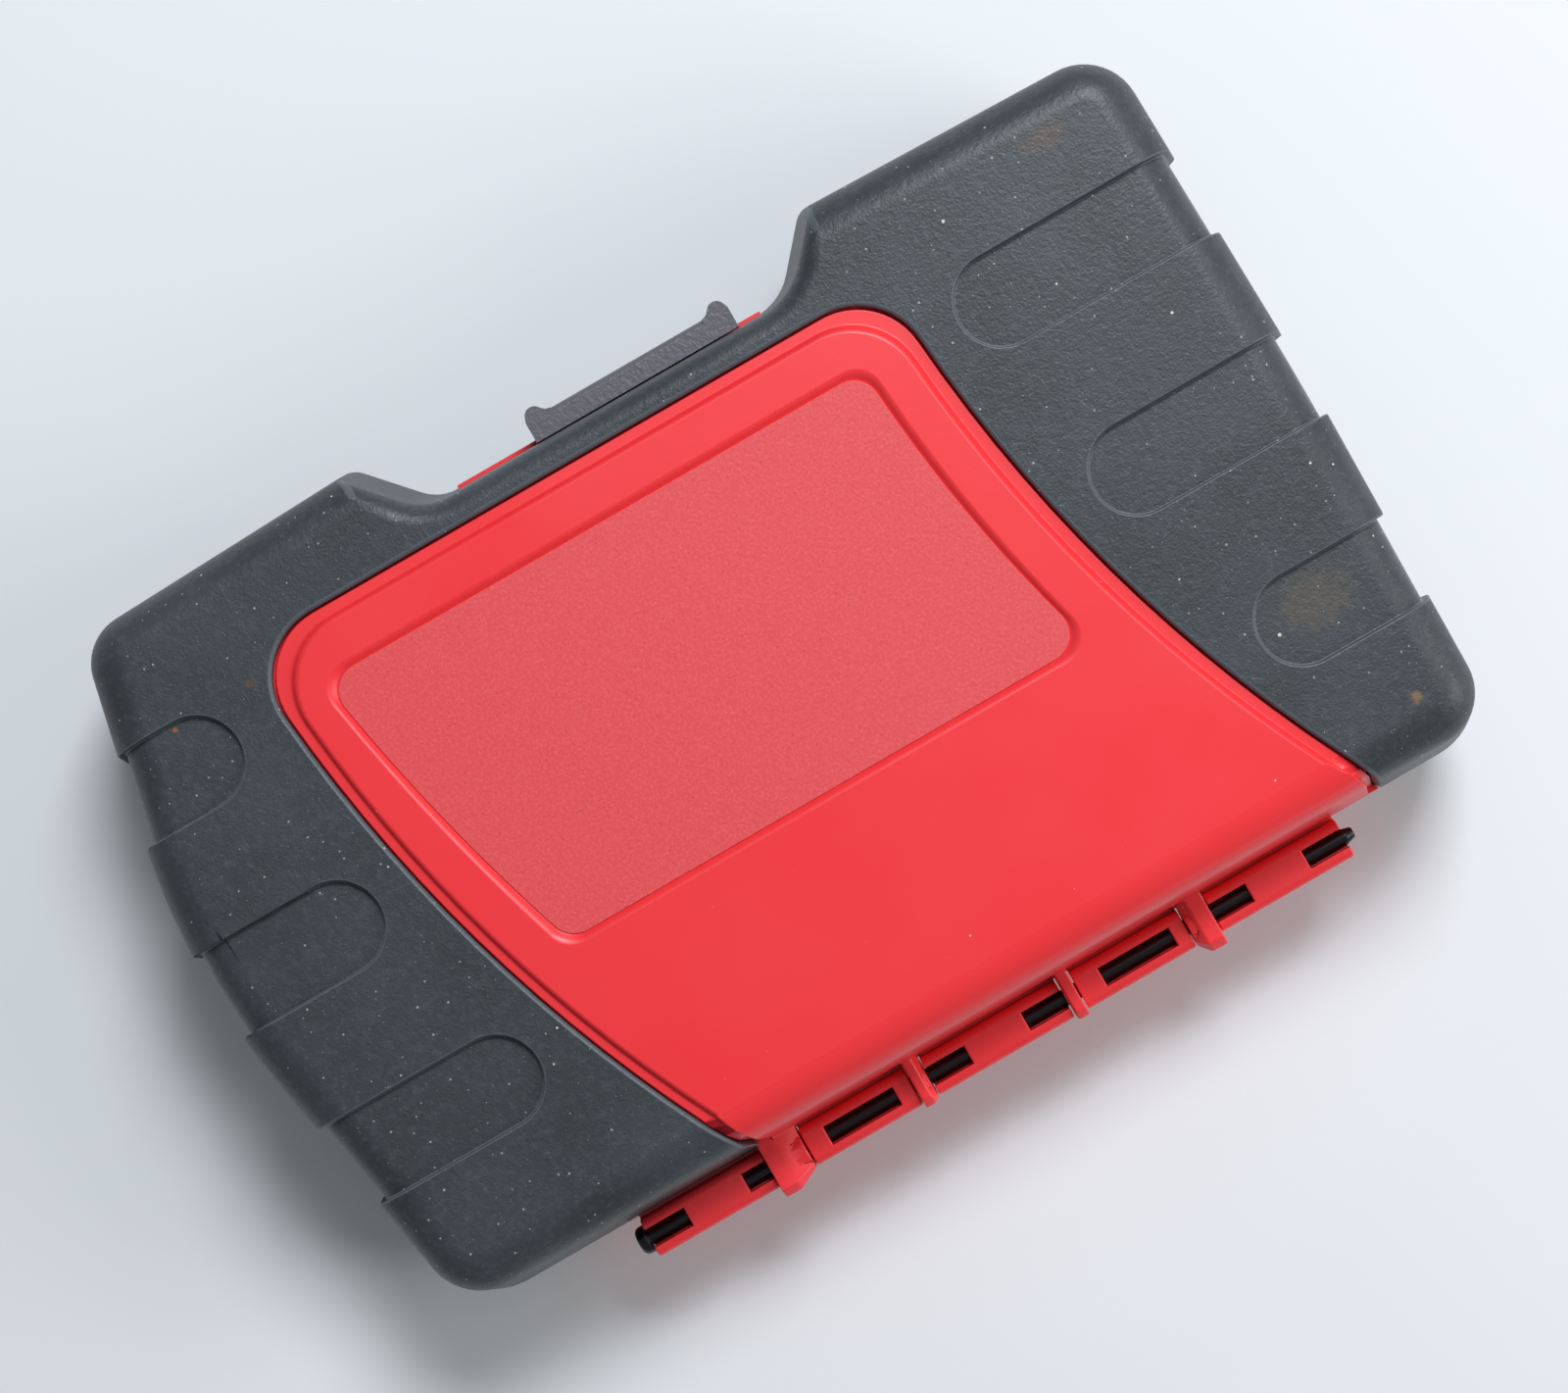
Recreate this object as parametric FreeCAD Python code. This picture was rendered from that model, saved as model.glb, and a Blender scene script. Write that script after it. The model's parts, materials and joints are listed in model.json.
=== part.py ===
import FreeCAD
import Part
import math
import os

# Drill bit case: a clam-shell case with soft grips that holds three pop-up racks of bits.
# Lengths are in mm. +Z is up, -Y is the latch side and +Y the hinge side.
# The origin is the middle of the case on the surface that it lies on.
# The case isn't symmetrical: its +X side is bowed and its -X side is nearly straight.

os.makedirs("parts", exist_ok=True)
V = FreeCAD.Vector

# Case
case_length = 227.5
case_depth = 154.3
case_height = 50.0
seam_height = 26.0
seam_gap = 0.3
grip_skin = 2.4
shell_wall = 2.0
field_wall = 2.8
wall_lean = 3.6
top_round = 8.0
notch_round = 4.2
least_round = 0.5
bevel_share = 0.6
overrun = 1.0
clearance = 0.3
fit_gap = 0.05

half_length = case_length / 2
half_depth = case_depth / 2
shell_inner = grip_skin + shell_wall

# Corners of the outline at the seam, as shares of half the length and depth, and their radii.
# The two at the back stand on the back wall, so they have a share of the length alone.
straight_front_share = (-0.9868, -0.9786)
straight_tip_share = (-0.4277, -1.0000)
notch_straight_share = (-0.3301, -0.8347)
notch_bowed_share = (0.2976, -0.8347)
bowed_tip_share = (0.3965, -0.9974)
bowed_front_share = (0.8980, -0.9695)
bow_share = (1.0211, -0.1633)
bowed_back_share = 0.8998
straight_back_share = -0.9912
straight_side_share = (-1.0009, -0.0648)
straight_front_round = 13.0
straight_tip_round = 4.2
notch_straight_round = 11.0
notch_bowed_round = 8.0
bowed_tip_round = 4.4
bowed_front_round = 12.0
bow_round = 126.0
bowed_back_round = 13.5
straight_back_round = 12.5
straight_side_round = 600.0
plain_front_round = 60.0

# Field: the bare part of the shell between the grips
band_width = 8.6
valley_depth = 1.3
valley_width = 3.1
ridge_slope = 0.7
field_round = 13.0
field_bowed_shares = (0.6641, 0.5816, 0.3591)
field_straight_shares = (-0.4760, -0.5570, -0.7793)
field_rim = 6.0

# Label recess and panel
label_depth = 1.0
label_thickness = 0.4
label_slope = 1.0
label_front_share = -0.5819
label_back_share = 0.2333
label_bowed_shares = (0.5868, 0.5341, 0.4567)
label_straight_shares = (-0.3908, -0.4207, -0.4840)
label_round = 5.0

# Finger grooves
groove_width = 16.8
groove_depth = 1.5
groove_pitch = 37.35
groove_step_shares = (-1, 0, 1)
groove_middle = -5.2
groove_bowed_ends = (83.65, 76.75, 66.15)
groove_straight_ends = (-62.3, -68.05, -80.05)

# Hinge
hinge_pin_diameter = 3.2
ear_reach = 5.95
short_ear_reach = 4.6
ear_rise = 4.4
ear_tip_share = 0.35
hinge_to_wall = 4.4
barrel_radius = 3.85
barrel_rise = 2.6
barrel_edge = 1.6
barrel_half = 72.85
barrel_middle = -4.8
window_width = 3.7
window_shares = (
    (0.889, 1.0), (0.651, 0.723), (0.288, 0.487), (0.082, 0.197),
    (-0.197, -0.082), (-0.506, -0.303), (-0.726, -0.618), (-1.0, -0.889),
)
under_shares = ((0.723, 0.889), (-0.082, 0.082), (-0.889, -0.726))
# Each ear: the ends of its top face and the end of its gusset
ear_shares = (
    (0.651, 0.607, 0.549, True), (0.238, 0.212, 0.198, False),
    (-0.231, -0.202, -0.198, False), (-0.617, -0.574, -0.549, True),
)
pin_head_radius = 2.7
pin_head_length = 2.0
head_round_share = 0.6
pin_end_gap = 0.3
pin_taper_length = 2.0
pin_taper_radius = 1.0
hinge_y = half_depth - ear_reach
hinge_z = seam_height

# Latch: it hangs on the base by its foot, and its ledge closes over the lid
latch_length = 41.7
latch_middle = -7.8
latch_height = 22.5
latch_foot_drop = 11.0
latch_stand = 1.1
latch_roll = 1.86
latch_plate = 1.6
latch_ledge = 1.6
latch_edge = 1.3
latch_flare = 1.75
latch_flare_run = 5.2
latch_flare_drop = 13.0
latch_tip_inset = 2.0
flare_bend_share = 0.55
latch_pin_diameter = 1.6
latch_room = 0.6
lug_radius = 1.3
lug_width = 3.0
lug_inset = 6.0
lip_height = 1.5
lip_reach = 0.65
lip_relief = 1.3
lip_end_bowed = 30.25
lip_end_straight = -33.45

# Racks: steps from one pivot to the next, back and up, and bar half heights
rack_names = ("low", "mid", "top")
top_pivot_to_hinge = 17.2
rack_steps_y = (27.0, 14.0, 0.0)
rack_height_shares = (0.136, 0.403, 0.718)
rack_half_height_shares = (0.121, 0.121, 0.150)
rack_middle = -4.35
rack_side_room = 28.75
rack_reach = 22.0
rack_edge = 1.5
rod_diameter = 4.0
crank_length = 13.5
crank_half_width = 3.2
crank_thickness = 2.5
bracket_thickness = 3.0
bracket_round = 5.0
bracket_foot = 2.0
foot_width = 7.8
foot_front_to_hinge = 48.0
foot_back_to_hinge = 17.6
side_gap = 0.5
link_half_width = 3.0
link_thickness = 2.0
link_pin_diameter = 3.0
link_lug_radius = 3.3
link_lug_width = 2.8
screw_steps = (34.2, 22.2)
screw_head_radius = 2.6
screw_head_height = 1.4
screw_radius = 1.5
screw_depth = 1.6

# Bits: diameters rise by sixty-fourths of an inch
inch = 25.4
parts_of_inch = 64
bit_step = inch / parts_of_inch
first_bit = 4
bit_names = (
    "1_16", "5_64", "3_32", "7_64", "1_8", "9_64", "5_32",
    "11_64", "3_16", "13_64", "7_32", "15_64", "1_4", "17_64",
    "9_32", "19_64", "5_16", "21_64", "11_32", "23_64", "3_8",
)
bits_per_rack = len(bit_names) // len(rack_names)
shortest_bit = 45.0
tip_room = 3.6
bit_seat = 14.0
bit_margin = 13.0
point_angle = 118.0


def crossing(a, b, c, d):
    along = b - a
    across = d - c
    share = (c - a).cross(across).z / along.cross(across).z
    return a + along * share


def outline(corners, inset, z, lean=0):
    """A closed outline through rounded corners, moved inwards by an inset and a lean.

    A corner keeps its middle while it leans, so that a leaning corner is a true cone.
    """
    points = [point for point, _ in corners]
    count = len(points)
    sides = []
    for i in range(count):
        a = points[i]
        b = points[(i + 1) % count]
        along = (b - a).normalize()
        shift = V(-along.y, along.x, 0) * (inset + lean)
        sides.append((a + shift, b + shift))
    moved = [crossing(*sides[i - 1], *sides[i]) for i in range(count)]
    arcs = []
    for i in range(count):
        before = moved[i - 1]
        corner = moved[i]
        after = moved[(i + 1) % count]
        back = (before - corner).normalize()
        ahead = (after - corner).normalize()
        half_turn = (math.pi - back.getAngle(ahead)) / 2
        outward = (corner - before).cross(after - corner).z > 0
        radius = corners[i][1] + inset + lean
        if outward:
            radius = max(corners[i][1] - inset, wall_lean + least_round) - lean
        tangent = radius * math.tan(half_turn)
        middle = corner + (back + ahead).normalize() * (radius / math.cos(half_turn) - radius)
        arcs.append((corner + back * tangent, middle, corner + ahead * tangent))
    edges = []
    for i in range(count):
        start, middle, end = arcs[i]
        edges.append(Part.Arc(start, middle, end).toShape())
        edges.append(Part.LineSegment(end, arcs[(i + 1) % count][0]).toShape())
    wire = Part.Wire(edges)
    wire.translate(V(0, 0, z))
    return wire


wall_y = hinge_y - hinge_to_wall


def corner(share, radius):
    """A corner of the outline with its radius."""
    return V(share[0] * half_length, share[1] * half_depth, 0), radius


def back_corner(share, radius):
    return V(share * half_length, wall_y, 0), radius


notch_corners = (
    corner(straight_tip_share, straight_tip_round),
    corner(notch_straight_share, notch_straight_round),
    corner(notch_bowed_share, notch_bowed_round),
    corner(bowed_tip_share, bowed_tip_round),
)
front_corner = corner(straight_front_share, straight_front_round)
side_corners = (
    corner(bowed_front_share, bowed_front_round), corner(bow_share, bow_round),
    back_corner(bowed_back_share, bowed_back_round),
    back_corner(straight_back_share, straight_back_round),
    corner(straight_side_share, straight_side_round),
)
notched_corners = (front_corner,) + notch_corners + side_corners
front_apex = crossing(front_corner[0], notch_corners[0][0], notch_corners[-1][0],
                      side_corners[0][0])
plain_corners = (front_corner, (front_apex, plain_front_round)) + side_corners


def leaning(corners, inset, seam, end, edge, soft):
    """A leaning block on an outline, with its far edge rounded or bevelled."""
    block = Part.makeLoft(
        [outline(corners, inset, seam), outline(corners, inset, end, wall_lean)], True, True)
    rim = [e for e in block.Edges
           if abs(e.BoundBox.ZMin - end) < fit_gap and abs(e.BoundBox.ZMax - end) < fit_gap]
    return block.makeFillet(edge, rim) if soft else block.makeChamfer(edge * bevel_share, rim)


def form(inset, far, soft=True, notched=True):
    """Half of the case as a solid block, from the seam to its far face."""
    side = 1 if far > seam_height else -1
    seam = seam_height + side * seam_gap / 2
    end = far - side * inset
    body = leaning(plain_corners, inset, seam, end, top_round - inset, soft)
    if not notched:
        return body
    notch = leaning(notched_corners, inset, seam, end, max(notch_round - inset, least_round),
                    soft)
    return body.common(notch)


def box(x0, x1, y0, y1, z0, z1):
    low = V(min(x0, x1), min(y0, y1), min(z0, z1))
    return Part.makeBox(abs(x1 - x0), abs(y1 - y0), abs(z1 - z0), low)


def rod_x(x0, x1, y, z, radius):
    return Part.makeCylinder(radius, abs(x1 - x0), V(min(x0, x1), y, z), V(1, 0, 0))


def bar_x(x0, x1, start, end, radius):
    """A flat bar with round ends, in the YZ plane, from one (y, z) to another."""
    dy = end[0] - start[0]
    dz = end[1] - start[1]
    length = math.hypot(dy, dz)
    side = (-dz / length * radius, dy / length * radius)
    corners = [
        (start[0] + side[0], start[1] + side[1]), (end[0] + side[0], end[1] + side[1]),
        (end[0] - side[0], end[1] - side[1]), (start[0] - side[0], start[1] - side[1]),
    ]
    points = [V(min(x0, x1), y, z) for y, z in corners]
    middle = Part.Face(Part.makePolygon(points + points[:1])).extrude(V(abs(x1 - x0), 0, 0))
    ends = [rod_x(x0, x1, *start, radius), rod_x(x0, x1, *end, radius)]
    return middle.multiFuse(ends).removeSplitter()


def bowed_panel(front_y, back_y, bowed, straight, inset, radius, z0, z1, back_radius=0):
    """An upright prism with curved sides that pass through three x places each."""
    y0 = front_y + inset
    y1 = back_y
    middle = (y0 + y1) / 2
    plus = [x * half_length - inset for x in bowed]
    minus = [x * half_length + inset for x in straight]
    edges = [
        Part.LineSegment(V(minus[0], y0, z0), V(plus[0], y0, z0)).toShape(),
        Part.Arc(V(plus[0], y0, z0), V(plus[1], middle, z0), V(plus[2], y1, z0)).toShape(),
        Part.LineSegment(V(plus[2], y1, z0), V(minus[2], y1, z0)).toShape(),
        Part.Arc(V(minus[2], y1, z0), V(minus[1], middle, z0), V(minus[0], y0, z0)).toShape(),
    ]
    block = Part.Face(Part.Wire(edges)).extrude(V(0, 0, z1 - z0))
    upright = [e for e in block.Edges if e.BoundBox.ZLength > abs(z1 - z0) / 2]
    fronts = [e for e in upright if e.BoundBox.YMax < middle]
    block = block.makeFillet(radius, fronts)
    if back_radius > 0:
        upright = [e for e in block.Edges if e.BoundBox.ZLength > abs(z1 - z0) / 2]
        backs = [e for e in upright if e.BoundBox.YMin > y1 - fit_gap]
        block = block.makeFillet(back_radius, backs)
    return block


def save(shape, name):
    shape.exportStep("parts/" + name + ".step")
    print(name, len(shape.Solids), shape.isValid(), round(shape.Volume))


# Places that several pieces share
notch_y = notch_straight_share[1] * half_depth
wall_root = wall_y - grip_skin - shell_wall / 2
field_front = notch_y + band_width
field_back = wall_y + overrun
lid_seam = seam_height + seam_gap / 2
base_seam = seam_height - seam_gap / 2
mirrored_bowed = [2 * barrel_middle / half_length - x for x in field_straight_shares]


def field(inset, z0, z1, bowed=field_bowed_shares):
    return bowed_panel(field_front, field_back, bowed, field_straight_shares, inset,
                       field_round, z0, z1)


def grooves(z0, z1):
    cuts = []
    for ends, side in ((groove_bowed_ends, 1), (groove_straight_ends, -1)):
        for step, end in zip(groove_step_shares, ends):
            y = groove_middle + step * groove_pitch
            turn = end + side * groove_width / 2
            cuts.append(box(turn, side * (half_length + overrun), y - groove_width / 2,
                            y + groove_width / 2, z0, z1))
            cuts.append(Part.makeCylinder(groove_width / 2, z1 - z0, V(turn, y, z0)))
    return cuts[0].multiFuse(cuts[1:])


def half(far, bowed):
    """The blocks that a half is cut from, and its grip."""
    low = min(0, far) - overrun if far == 0 else seam_height
    high = seam_height if far == 0 else far + overrun
    whole = form(0, far)
    under_grip = form(grip_skin, far, False)
    grip = whole.cut(under_grip).cut(field(0, low, high, bowed))
    skin = whole.cut(form(groove_depth, far, True, False))
    grip = grip.cut(skin.common(grooves(low, high)))
    inside = form(shell_inner, far, False)
    thin = form(field_wall, far, False).common(field(field_rim, low, high, bowed))
    return whole, under_grip, grip, inside.fuse(thin), low, high


# Latch places
pivot_y = notch_y - latch_stand
pivot_z = seam_height - latch_foot_drop
latch_end = latch_length / 2
latch_top = pivot_z + latch_height
latch_front = pivot_y - latch_roll
latch_back = latch_front + latch_plate
lug_places = [latch_middle + side * (latch_end - lug_inset - lug_width / 2) for side in (1, -1)]


def wall_shift(z):
    """How far a wall has leaned in at a height."""
    far = case_height if z > seam_height else 0
    return wall_lean * (z - seam_height) / (far - seam_height)


seat_y = notch_y + wall_shift(latch_top)


def base_lug(x):
    low = x - lug_width / 2
    high = x + lug_width / 2
    arm = box(low, high, pivot_y, notch_y + wall_lean + grip_skin,
              pivot_z - lug_radius, pivot_z + lug_radius)
    return rod_x(low, high, pivot_y, pivot_z, lug_radius).fuse(arm)


# Rack places
inner_height = case_height - 2 * shell_inner
rack_pivots = [(hinge_y - top_pivot_to_hinge - step, shell_inner + share * inner_height)
               for step, share in zip(rack_steps_y, rack_height_shares)]
rack_half_heights = [share * inner_height for share in rack_half_height_shares]
rack_length = case_length - 2 * rack_side_room
half_rack = rack_length / 2
foot_front = hinge_y - foot_front_to_hinge
foot_back = hinge_y - foot_back_to_hinge
screw_places = [hinge_y - step for step in screw_steps]
last_number = first_bit + len(bit_names) - 1
longest_bit = (rack_pivots[-1][0] - rack_reach + bit_seat
               - (notch_y + shell_inner + wall_shift(rack_pivots[-1][1])) - tip_room)
length_step = (longest_bit - shortest_bit) / (last_number - first_bit)
bracket_inner = half_rack + side_gap
bracket_outer = bracket_inner + bracket_thickness
crank_inner = bracket_outer + side_gap
crank_outer = crank_inner + crank_thickness
link_inner = crank_outer + side_gap
link_outer = link_inner + link_thickness
lug_inner = link_outer + 2 * clearance
lug_outer = lug_inner + link_lug_width
lid_joint = (hinge_y - crank_length, hinge_z)
floor_z = shell_inner


def across(side, distance):
    return rack_middle + side * distance


def crank_end(pivot):
    return (pivot[0] - crank_length, pivot[1])


def under_wire(block):
    lowest = min(block.Faces, key=lambda face: face.CenterOfMass.z)
    return lowest.OuterWire


# Lid
whole, under_grip, lid_grip, lid_inside, low, high = half(case_height, field_bowed_shares)
valley = form(valley_depth, case_height, True, False).common(field(clearance, low, high))
valley_z = case_height - valley_depth
plateau_foot = field(valley_width - ridge_slope, low, valley_z)
plateau_slope = Part.makeLoft(
    [under_wire(field(valley_width - ridge_slope, valley_z, case_height)),
     under_wire(field(valley_width, case_height, high))], True, True)
plateau = whole.common(plateau_foot.fuse(plateau_slope))
lid_shell = under_grip.fuse([valley, plateau]).cut(lid_inside)
label_floor = case_height - label_depth


def label_block(inset, z0, z1):
    return bowed_panel(label_front_share * half_depth, label_back_share * half_depth - inset,
                       label_bowed_shares, label_straight_shares, inset, label_round, z0, z1,
                       label_round)


label_cut = Part.makeLoft(
    [under_wire(label_block(label_slope, label_floor, case_height)),
     under_wire(label_block(0, case_height, case_height + overrun))], True, True)
label_panel = label_block(label_slope + fit_gap, label_floor, label_floor + label_thickness)
lid_shell = lid_shell.cut(label_cut)


def ear_section(x, reach, rise):
    """A section of an ear across the hinge, from the lid's back wall to its outer end."""
    tip = ear_tip_share * rise
    points = [V(x, wall_root, lid_seam), V(x, hinge_y, hinge_z),
              V(x, hinge_y + reach, hinge_z), V(x, hinge_y + reach, hinge_z + rise - tip),
              V(x, hinge_y + reach - tip, hinge_z + rise),
              V(x, wall_root, hinge_z + rise)]
    return Part.makePolygon(points + points[:1])


def ear(top_start, top_end, foot, outer):
    reach = ear_reach if outer else short_ear_reach
    x0, x1, x2 = [barrel_middle + share * barrel_half for share in (top_start, top_end, foot)]
    plate = Part.makeLoft([ear_section(x0, reach, ear_rise), ear_section(x1, reach, ear_rise)],
                          True, True)
    gusset = Part.makeLoft([ear_section(x1, reach, ear_rise),
                            ear_section(x2, barrel_radius, barrel_rise)], True, True)
    eye = rod_x(x0, x2, hinge_y, hinge_z, barrel_radius)
    bore = rod_x(min(x0, x2) - overrun, max(x0, x2) + overrun, hinge_y, hinge_z,
                 hinge_pin_diameter / 2 + fit_gap)
    return plate.multiFuse([gusset, eye]).cut(bore)


ears = [ear(*row) for row in ear_shares]
lid_shell = lid_shell.fuse(ears)
lid_grip = lid_grip.cut(Part.makeCompound(ears))
lid_grip = lid_grip.cut(box(latch_middle - latch_end - latch_room,
                            latch_middle + latch_end + latch_room,
                            -half_depth, seat_y, lid_seam - overrun, latch_top + clearance))

relief_top = lid_seam + (case_height - seam_height) * lip_relief / wall_lean
lid_grip = lid_grip.cut(box(lip_end_bowed, lip_end_straight, -half_depth,
                            notch_y + lip_relief, lid_seam - overrun, relief_top))

link_lugs = []
for side in (1, -1):
    x0 = across(side, lug_inner)
    x1 = across(side, lug_outer)
    eye = rod_x(x0, x1, *lid_joint, link_lug_radius)
    neck = box(x0, x1, lid_joint[0] - link_lug_radius, lid_joint[0] + link_lug_radius,
               hinge_z, hinge_z + 2 * link_lug_radius)
    web = box(x0, x1, lid_joint[0] - link_lug_radius, wall_y, hinge_z + link_lug_radius,
              case_height).common(form(grip_skin + shell_wall / 2, case_height))
    bore = rod_x(across(side, lug_inner - overrun), across(side, lug_outer + overrun),
                 *lid_joint, link_pin_diameter / 2 + fit_gap)
    link_lugs.append(eye.fuse([neck, web]).cut(bore))
lid_shell = lid_shell.fuse(link_lugs).removeSplitter()

save(lid_shell, "lid_shell")
save(lid_grip, "lid_grip")
save(label_panel, "label_panel")

pins = [rod_x(across(side, link_inner - clearance / 2), across(side, lug_outer), *lid_joint,
              link_pin_diameter / 2) for side in (1, -1)]
save(Part.makeCompound(pins), "lid_link_pins")

# Base
whole, under_grip, base_grip, base_inside, low, high = half(0, mirrored_bowed)
base_shell = under_grip.fuse(whole.common(field(clearance / 2, low, high, mirrored_bowed)))
base_shell = base_shell.cut(base_inside)
lip = box(lip_end_bowed, lip_end_straight, notch_y - lip_reach,
          notch_y + grip_skin + shell_wall / 2, base_seam - lip_height, base_seam)
lugs = [base_lug(x) for x in lug_places]
latch_bore = rod_x(latch_middle - latch_end, latch_middle + latch_end, pivot_y, pivot_z,
                   latch_pin_diameter / 2 + fit_gap)
latch_seat = rod_x(latch_middle - latch_end - clearance, latch_middle + latch_end + clearance,
                   pivot_y, pivot_z, latch_roll + clearance)
base_grip = base_grip.cut(Part.makeCompound(lugs)).cut(lip).cut(latch_seat)
barrel_start = barrel_middle - barrel_half
barrel_end = barrel_middle + barrel_half
barrel = box(barrel_start, barrel_end, hinge_y - barrel_radius, hinge_y + barrel_radius,
             hinge_z - barrel_radius, hinge_z + barrel_rise)
long_edges = [e for e in barrel.Edges if e.BoundBox.XLength > barrel_half]
barrel = barrel.makeFillet(barrel_edge, long_edges)
web = box(barrel_start, barrel_end, wall_root, hinge_y, hinge_z - barrel_radius, base_seam)
barrel = barrel.fuse(web)
base_grip = base_grip.cut(web)
cuts = [rod_x(barrel_start - overrun, barrel_end + overrun, hinge_y, hinge_z,
              hinge_pin_diameter / 2 + fit_gap)]
for start, end in window_shares:
    cuts.append(box(barrel_middle + start * barrel_half, barrel_middle + end * barrel_half,
                    hinge_y - window_width / 2, hinge_y + window_width / 2,
                    hinge_z, hinge_z + barrel_radius + overrun))
for start, end in under_shares:
    cuts.append(box(barrel_middle + start * barrel_half + clearance,
                    barrel_middle + end * barrel_half - clearance,
                    hinge_y - window_width / 2, hinge_y + window_width / 2,
                    hinge_z - barrel_radius - overrun, hinge_z))
for start, _, end, _ in ear_shares:
    x0 = barrel_middle + min(start, end) * barrel_half - clearance
    x1 = barrel_middle + max(start, end) * barrel_half + clearance
    cuts.append(box(x0, x1, wall_y + clearance, half_depth, hinge_z - 2 * barrel_radius,
                    hinge_z + 2 * barrel_radius))
barrel = barrel.cut(Part.makeCompound(cuts))
screw_x = [across(side, bracket_outer + foot_width / 2) for side in (1, -1)]
screw_holes = [Part.makeCylinder(screw_radius + fit_gap, screw_depth + fit_gap,
                                 V(x, y, floor_z - screw_depth - fit_gap))
               for x in screw_x for y in screw_places]
base_shell = base_shell.fuse([lip, barrel] + lugs)
base_shell = base_shell.cut(Part.makeCompound(screw_holes + [latch_bore]))
save(base_shell, "base_shell")
save(base_grip, "base_grip")

# Hinge pin: a round head at the bowed side and a tapered tip
head = rod_x(barrel_end + pin_end_gap, barrel_end + pin_end_gap + pin_head_length,
             hinge_y, hinge_z, pin_head_radius)
stem = rod_x(barrel_start, barrel_end + pin_end_gap, hinge_y, hinge_z, hinge_pin_diameter / 2)
tip = Part.makeCone(hinge_pin_diameter / 2, pin_taper_radius, pin_taper_length,
                    V(barrel_start, hinge_y, hinge_z), V(-1, 0, 0))
rims = [e for e in head.Edges if e.Length > pin_head_radius * math.pi
        and e.BoundBox.XMin > barrel_end + pin_end_gap + pin_head_length / 2]
head = head.makeFillet(pin_head_length * head_round_share, rims)
save(head.fuse([stem, tip]).removeSplitter(), "hinge_pin")

# Latch: a plate from the roll on its pin up to a ledge, with flared ends to pull it by
x_minus = latch_middle - latch_end
x_plus = latch_middle + latch_end
roll = rod_x(x_minus, x_plus, pivot_y, pivot_z, latch_roll)
plate = box(x_minus, x_plus, latch_front, latch_back, pivot_z - latch_roll / 2, latch_top)
foot = box(x_minus, x_plus, latch_front, pivot_y, pivot_z - latch_roll / 2, pivot_z + latch_roll)
ledge = box(x_minus, x_plus, latch_front, seat_y - clearance, latch_top - latch_ledge, latch_top)
flare_y = latch_front - latch_flare
flares = []
for end, side in ((x_plus, 1), (x_minus, -1)):
    tip = end - side * latch_tip_inset
    root = end - side * latch_flare_run
    inner_bend = flare_bend_share * (root - tip)
    outer_bend = flare_bend_share * (end - tip)
    outer_drop = flare_bend_share * latch_plate
    curve = Part.BezierCurve()
    curve.setPoles([V(root, latch_front, 0), V(root - inner_bend, latch_front, 0),
                    V(tip + inner_bend, flare_y, 0), V(tip, flare_y, 0)])
    outer = Part.BezierCurve()
    outer.setPoles([V(tip, flare_y, 0), V(tip + outer_bend, flare_y, 0),
                    V(end, latch_front - outer_drop, 0), V(end, latch_back, 0)])
    sides = [curve.toShape(), outer.toShape(),
             Part.LineSegment(V(end, latch_back, 0), V(root, latch_back, 0)).toShape(),
             Part.LineSegment(V(root, latch_back, 0), V(root, latch_front, 0)).toShape()]
    flare = Part.Face(Part.Wire(sides)).extrude(V(0, 0, latch_flare_drop))
    flare.translate(V(0, 0, latch_top - latch_flare_drop))
    flares.append(flare)
latch = plate.multiFuse([ledge, roll, foot]).removeSplitter()
front_edge = [e for e in latch.Edges if e.BoundBox.XLength > latch_end
              and e.BoundBox.YMax < latch_front + fit_gap and e.BoundBox.ZMin > latch_top - fit_gap]
latch = latch.makeFillet(latch_edge, front_edge).multiFuse(flares)
for x in lug_places:
    reach = lug_width / 2 + clearance
    latch = latch.cut(box(x - reach, x + reach, pivot_y - lug_radius - clearance,
                          notch_y + latch_roll, pivot_z - latch_roll - clearance,
                          pivot_z + latch_roll + clearance))
latch = latch.cut(latch_bore)
save(latch, "latch")
pin_half = latch_end - lug_inset + clearance
save(rod_x(latch_middle - pin_half, latch_middle + pin_half, pivot_y, pivot_z,
           latch_pin_diameter / 2), "latch_pin")

# Brackets with their screws
for side, name in ((1, "rack_bracket_right"), (-1, "rack_bracket_left")):
    x0 = across(side, bracket_inner)
    x1 = across(side, bracket_outer)
    arms = [bar_x(x0, x1, rack_pivots[0], rack_pivots[1], bracket_round),
            bar_x(x0, x1, rack_pivots[1], rack_pivots[2], bracket_round),
            box(x0, x1, foot_front, foot_back, floor_z, rack_pivots[0][1]),
            box(x0, x1, rack_pivots[1][0] - bracket_round, foot_back, floor_z,
                rack_pivots[1][1])]
    foot = box(x0, across(side, bracket_outer + foot_width), foot_front, foot_back,
               floor_z, floor_z + bracket_foot)
    bracket = arms[0].multiFuse(arms[1:] + [foot])
    holes = [rod_x(x0 - bracket_thickness * 2, x0 + bracket_thickness * 2, *pivot,
                   rod_diameter / 2 + fit_gap) for pivot in rack_pivots]
    holes += [Part.makeCylinder(screw_radius + fit_gap, bracket_foot + overrun,
                                V(across(side, bracket_outer + foot_width / 2), y, floor_z))
              for y in screw_places]
    save(bracket.cut(Part.makeCompound(holes)).removeSplitter(), name)

screws = []
for x in screw_x:
    for y in screw_places:
        seat = floor_z + bracket_foot
        screw = Part.makeCylinder(screw_radius, bracket_foot + screw_depth,
                                  V(x, y, floor_z - screw_depth))
        head = Part.makeCylinder(screw_head_radius, screw_head_height, V(x, y, seat))
        screws.append(screw.fuse(head).removeSplitter())
save(Part.makeCompound(screws), "bracket_screws")

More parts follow.
